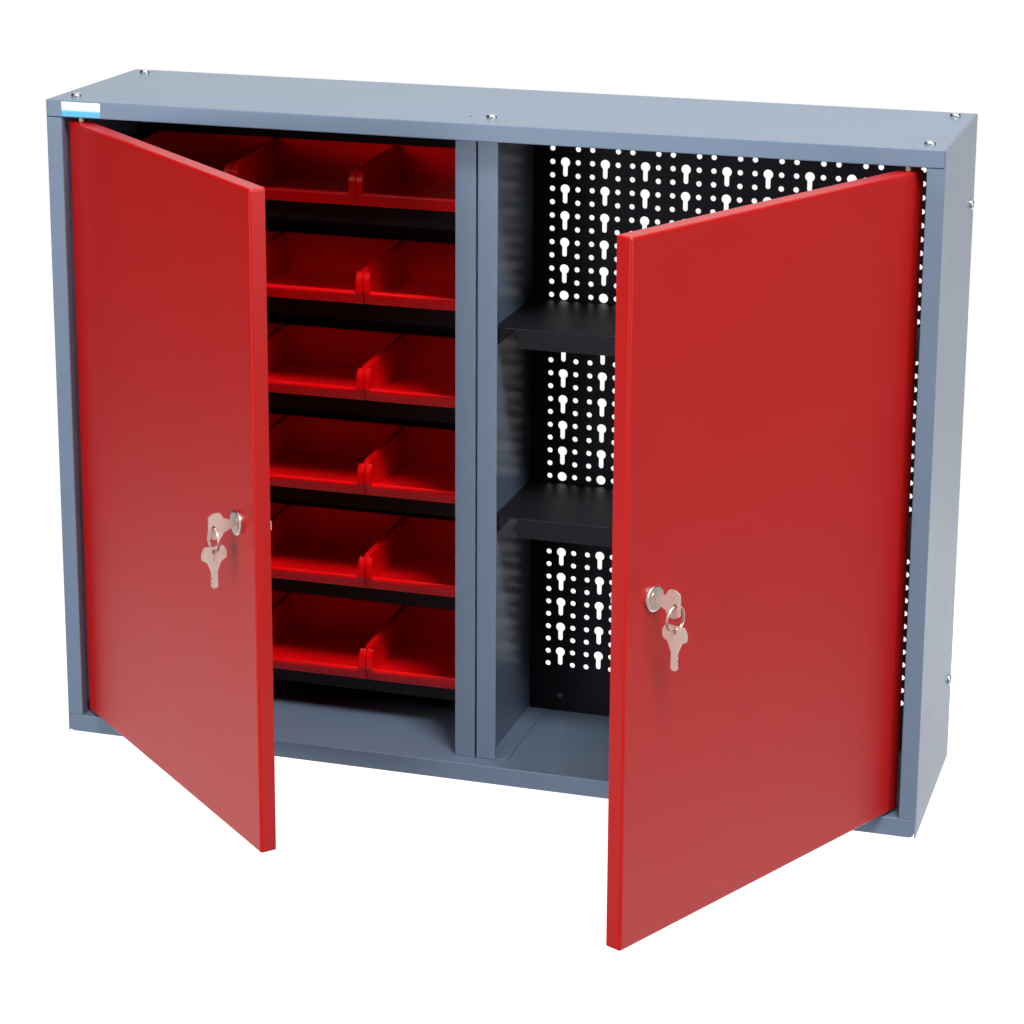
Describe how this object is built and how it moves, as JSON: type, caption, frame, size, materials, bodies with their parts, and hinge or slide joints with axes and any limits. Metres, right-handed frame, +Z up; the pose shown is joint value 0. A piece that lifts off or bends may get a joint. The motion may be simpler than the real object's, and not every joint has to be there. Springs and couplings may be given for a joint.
{
  "type": "wall tool cabinet",
  "caption": "Wall-hung steel tool cabinet with two hinged lockable doors, a bay of shelves for open-front bins and a bay with a perforated tool panel and shelves.",
  "frame": {"origin": "centre of the four wall-screw holes, on the wall plane", "axes": "+X to the right as seen from the front, +Y into the wall, +Z up"},
  "size_m": [0.8052, 0.5084, 0.6026],
  "materials": {
    "frame_paint": "semi-gloss blue-grey powder coat",
    "door_paint": "semi-gloss red powder coat",
    "dark_paint": "satin near-black powder coat",
    "bin_plastic": "glossy moulded red plastic",
    "nickel": "nickel-plated",
    "zinc_steel": "zinc-plated steel",
    "pale_plastic": "pale nylon",
    "label_film": "blank printed film"
  },
  "bodies": {
    "cabinet": {"top_panel": "frame_paint", "bottom_panel": "frame_paint", "left_side_panel": "frame_paint", "right_side_panel": "frame_paint", "divider_left_panel": "frame_paint", "divider_right_panel": "frame_paint", "back_panel": "dark_paint", "upper_perforated_panel": "dark_paint", "middle_perforated_panel": "dark_paint", "lower_perforated_panel": "dark_paint", "panel_brackets": "dark_paint", "upper_tool_shelf": "dark_paint", "lower_tool_shelf": "dark_paint", "bin_shelf_1": "dark_paint", "bin_shelf_2": "dark_paint", "bin_shelf_3": "dark_paint", "bin_shelf_4": "dark_paint", "bin_shelf_5": "dark_paint", "bin_shelf_6": "dark_paint", "top_screws": "zinc_steel", "side_screws": "zinc_steel", "blank_label": "label_film", "left_hinge_bushes": "pale_plastic", "right_hinge_bushes": "pale_plastic"},
    "left_door": {"left_door_shell": "door_paint", "left_door_liner": "door_paint", "left_door_bumper": "pale_plastic", "left_hinge_pins": "zinc_steel", "left_lock_housing": "nickel"},
    "left_lock": {"left_lock_cylinder": "nickel", "left_inserted_key": "nickel"},
    "left_ring": {"left_key_ring": "nickel"},
    "left_spare": {"left_spare_key": "nickel"},
    "right_door": {"right_door_shell": "door_paint", "right_door_liner": "door_paint", "right_door_bumper": "pale_plastic", "right_hinge_pins": "zinc_steel", "right_lock_housing": "nickel"},
    "right_lock": {"right_lock_cylinder": "nickel", "right_inserted_key": "nickel"},
    "right_ring": {"right_key_ring": "nickel"},
    "right_spare": {"right_spare_key": "nickel"},
    "bin_1_1": {"bin_1_1": "bin_plastic"},
    "bin_1_2": {"bin_1_2": "bin_plastic"},
    "bin_1_3": {"bin_1_3": "bin_plastic"},
    "bin_2_1": {"bin_2_1": "bin_plastic"},
    "bin_2_2": {"bin_2_2": "bin_plastic"},
    "bin_2_3": {"bin_2_3": "bin_plastic"},
    "bin_3_1": {"bin_3_1": "bin_plastic"},
    "bin_3_2": {"bin_3_2": "bin_plastic"},
    "bin_3_3": {"bin_3_3": "bin_plastic"},
    "bin_4_1": {"bin_4_1": "bin_plastic"},
    "bin_4_2": {"bin_4_2": "bin_plastic"},
    "bin_4_3": {"bin_4_3": "bin_plastic"},
    "bin_5_1": {"bin_5_1": "bin_plastic"},
    "bin_5_2": {"bin_5_2": "bin_plastic"},
    "bin_5_3": {"bin_5_3": "bin_plastic"},
    "bin_6_1": {"bin_6_1": "bin_plastic"},
    "bin_6_2": {"bin_6_2": "bin_plastic"},
    "bin_6_3": {"bin_6_3": "bin_plastic"}
  },
  "joints": [
    {"name": "left_door_hinge", "type": "hinge", "parent": "cabinet", "child": "left_door", "pos_m": [-0.369, -0.185, -0.0005], "axis": [0, 0, -1], "range_deg": [-42, 68]},
    {"name": "right_door_hinge", "type": "hinge", "parent": "cabinet", "child": "right_door", "pos_m": [0.369, -0.185, -0.0005], "axis": [0, 0, 1], "range_deg": [-64.3, 45.7]},
    {"name": "left_lock_turn", "type": "hinge", "parent": "left_door", "child": "left_lock", "pos_m": [-0.13417, -0.4099, -0.0013], "axis": [0.6691, 0.7431, 0], "range_deg": [0, 90]},
    {"name": "left_ring_swing", "type": "hinge", "parent": "left_lock", "child": "left_ring", "pos_m": [-0.14702, -0.42417, -0.0023], "axis": [-0.7431, 0.6691, 0], "range_deg": [-8, 60]},
    {"name": "left_spare_key_swing", "type": "hinge", "parent": "left_ring", "child": "left_spare", "pos_m": [-0.14702, -0.42417, -0.0223], "axis": [-0.7431, 0.6691, 0], "range_deg": [-10, 40]},
    {"name": "right_lock_turn", "type": "hinge", "parent": "right_door", "child": "right_lock", "pos_m": [0.23707, -0.48219, -0.0013], "axis": [0.9011, -0.4337, 0], "range_deg": [0, 90]},
    {"name": "right_ring_swing", "type": "hinge", "parent": "right_lock", "child": "right_ring", "pos_m": [0.25437, -0.49051, -0.0023], "axis": [-0.4337, -0.9011, 0], "range_deg": [-8, 60]},
    {"name": "right_spare_key_swing", "type": "hinge", "parent": "right_ring", "child": "right_spare", "pos_m": [0.25437, -0.49051, -0.0223], "axis": [-0.4337, -0.9011, 0], "range_deg": [-10, 40]},
    {"name": "bin_1_1_slide", "type": "slide", "parent": "cabinet", "child": "bin_1_1", "axis": [0, -1, 0], "range_m": [0, 0.035]},
    {"name": "bin_1_2_slide", "type": "slide", "parent": "cabinet", "child": "bin_1_2", "axis": [0, -1, 0], "range_m": [0, 0.035]},
    {"name": "bin_1_3_slide", "type": "slide", "parent": "cabinet", "child": "bin_1_3", "axis": [0, -1, 0], "range_m": [0, 0.035]},
    {"name": "bin_2_1_slide", "type": "slide", "parent": "cabinet", "child": "bin_2_1", "axis": [0, -1, 0], "range_m": [0, 0.035]},
    {"name": "bin_2_2_slide", "type": "slide", "parent": "cabinet", "child": "bin_2_2", "axis": [0, -1, 0], "range_m": [0, 0.035]},
    {"name": "bin_2_3_slide", "type": "slide", "parent": "cabinet", "child": "bin_2_3", "axis": [0, -1, 0], "range_m": [0, 0.035]},
    {"name": "bin_3_1_slide", "type": "slide", "parent": "cabinet", "child": "bin_3_1", "axis": [0, -1, 0], "range_m": [0, 0.035]},
    {"name": "bin_3_2_slide", "type": "slide", "parent": "cabinet", "child": "bin_3_2", "axis": [0, -1, 0], "range_m": [0, 0.035]},
    {"name": "bin_3_3_slide", "type": "slide", "parent": "cabinet", "child": "bin_3_3", "axis": [0, -1, 0], "range_m": [0, 0.035]},
    {"name": "bin_4_1_slide", "type": "slide", "parent": "cabinet", "child": "bin_4_1", "axis": [0, -1, 0], "range_m": [0, 0.035]},
    {"name": "bin_4_2_slide", "type": "slide", "parent": "cabinet", "child": "bin_4_2", "axis": [0, -1, 0], "range_m": [0, 0.035]},
    {"name": "bin_4_3_slide", "type": "slide", "parent": "cabinet", "child": "bin_4_3", "axis": [0, -1, 0], "range_m": [0, 0.035]},
    {"name": "bin_5_1_slide", "type": "slide", "parent": "cabinet", "child": "bin_5_1", "axis": [0, -1, 0], "range_m": [0, 0.035]},
    {"name": "bin_5_2_slide", "type": "slide", "parent": "cabinet", "child": "bin_5_2", "axis": [0, -1, 0], "range_m": [0, 0.035]},
    {"name": "bin_5_3_slide", "type": "slide", "parent": "cabinet", "child": "bin_5_3", "axis": [0, -1, 0], "range_m": [0, 0.035]},
    {"name": "bin_6_1_slide", "type": "slide", "parent": "cabinet", "child": "bin_6_1", "axis": [0, -1, 0], "range_m": [0, 0.035]},
    {"name": "bin_6_2_slide", "type": "slide", "parent": "cabinet", "child": "bin_6_2", "axis": [0, -1, 0], "range_m": [0, 0.035]},
    {"name": "bin_6_3_slide", "type": "slide", "parent": "cabinet", "child": "bin_6_3", "axis": [0, -1, 0], "range_m": [0, 0.035]}
  ]
}
